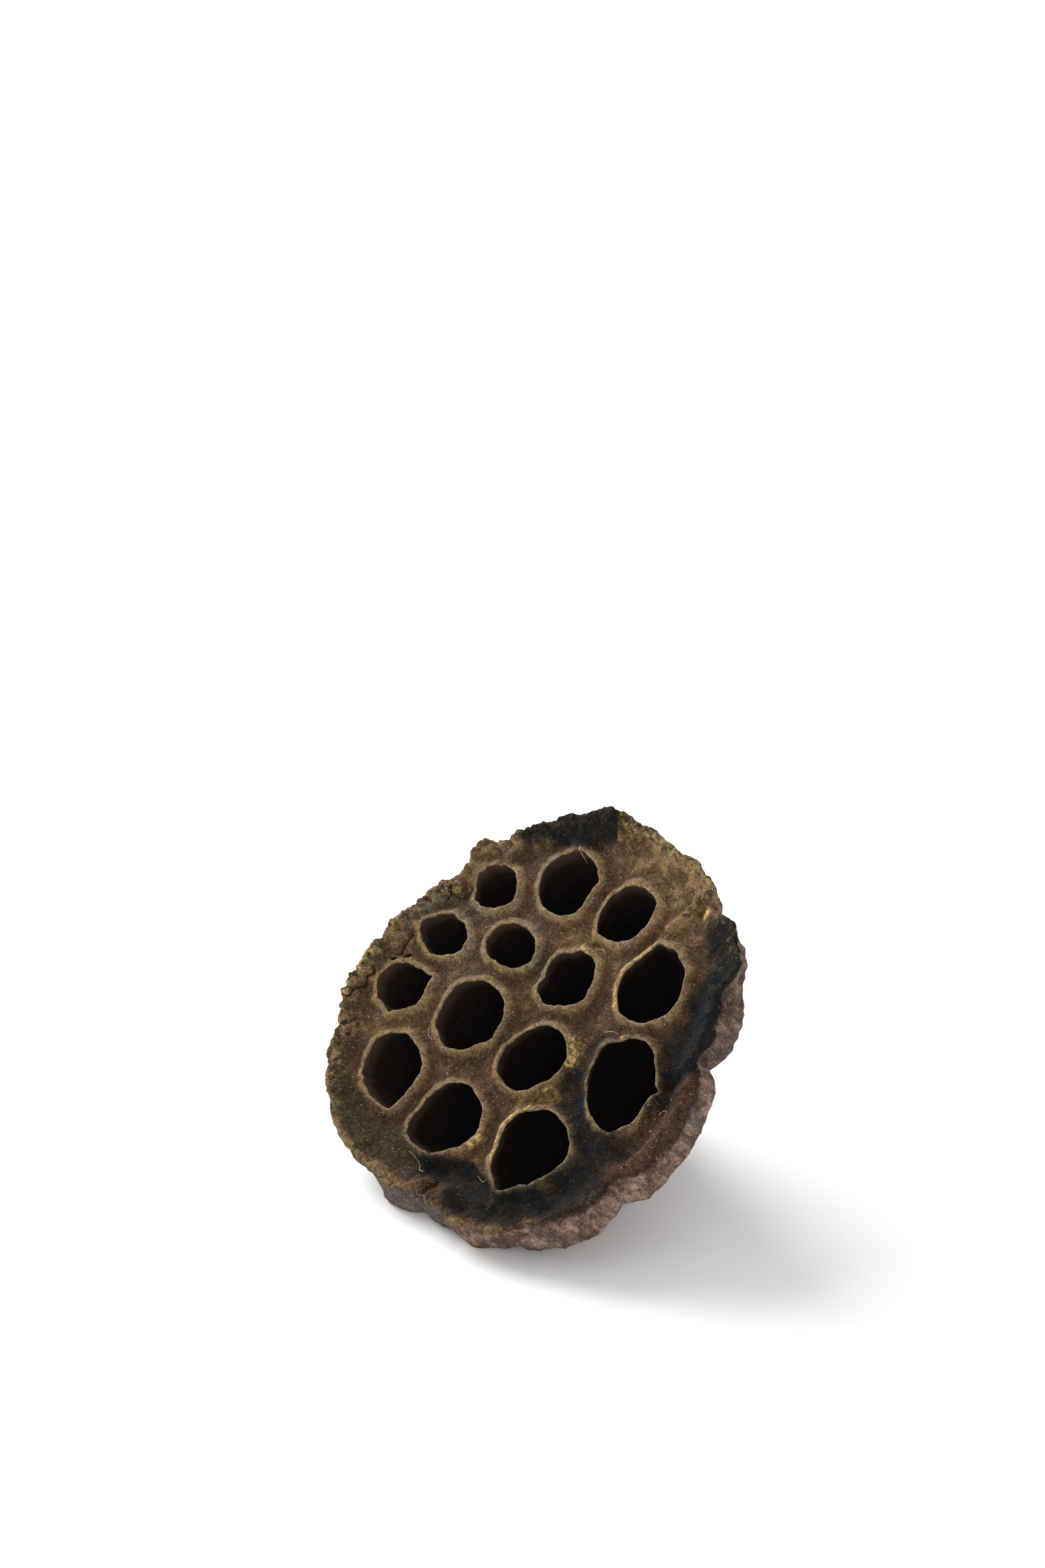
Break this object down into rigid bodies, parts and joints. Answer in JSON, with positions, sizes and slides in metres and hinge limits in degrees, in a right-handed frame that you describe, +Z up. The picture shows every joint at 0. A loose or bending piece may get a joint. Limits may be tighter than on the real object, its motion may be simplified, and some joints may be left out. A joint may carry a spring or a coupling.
{
  "type": "dried lotus pod",
  "caption": "Empty dried lotus seed pod lying on its side: a wide face of seed seats with raised lips, a crinkled rim and a wall tapering to a stem stub.",
  "frame": {"origin": "middle of the foot of the pod's box, on the surface it lies on", "axes": "+Z up, -Y the side that the face looks to as it leans back, +X across the face"},
  "size_m": [0.091, 0.069, 0.0695],
  "materials": {
    "dried_pod": "matt, leathery and wrinkled dried plant wall, paler on its raised lips and rim"
  },
  "bodies": {
    "root": {"receptacle": "dried_pod"}
  },
  "joints": []
}
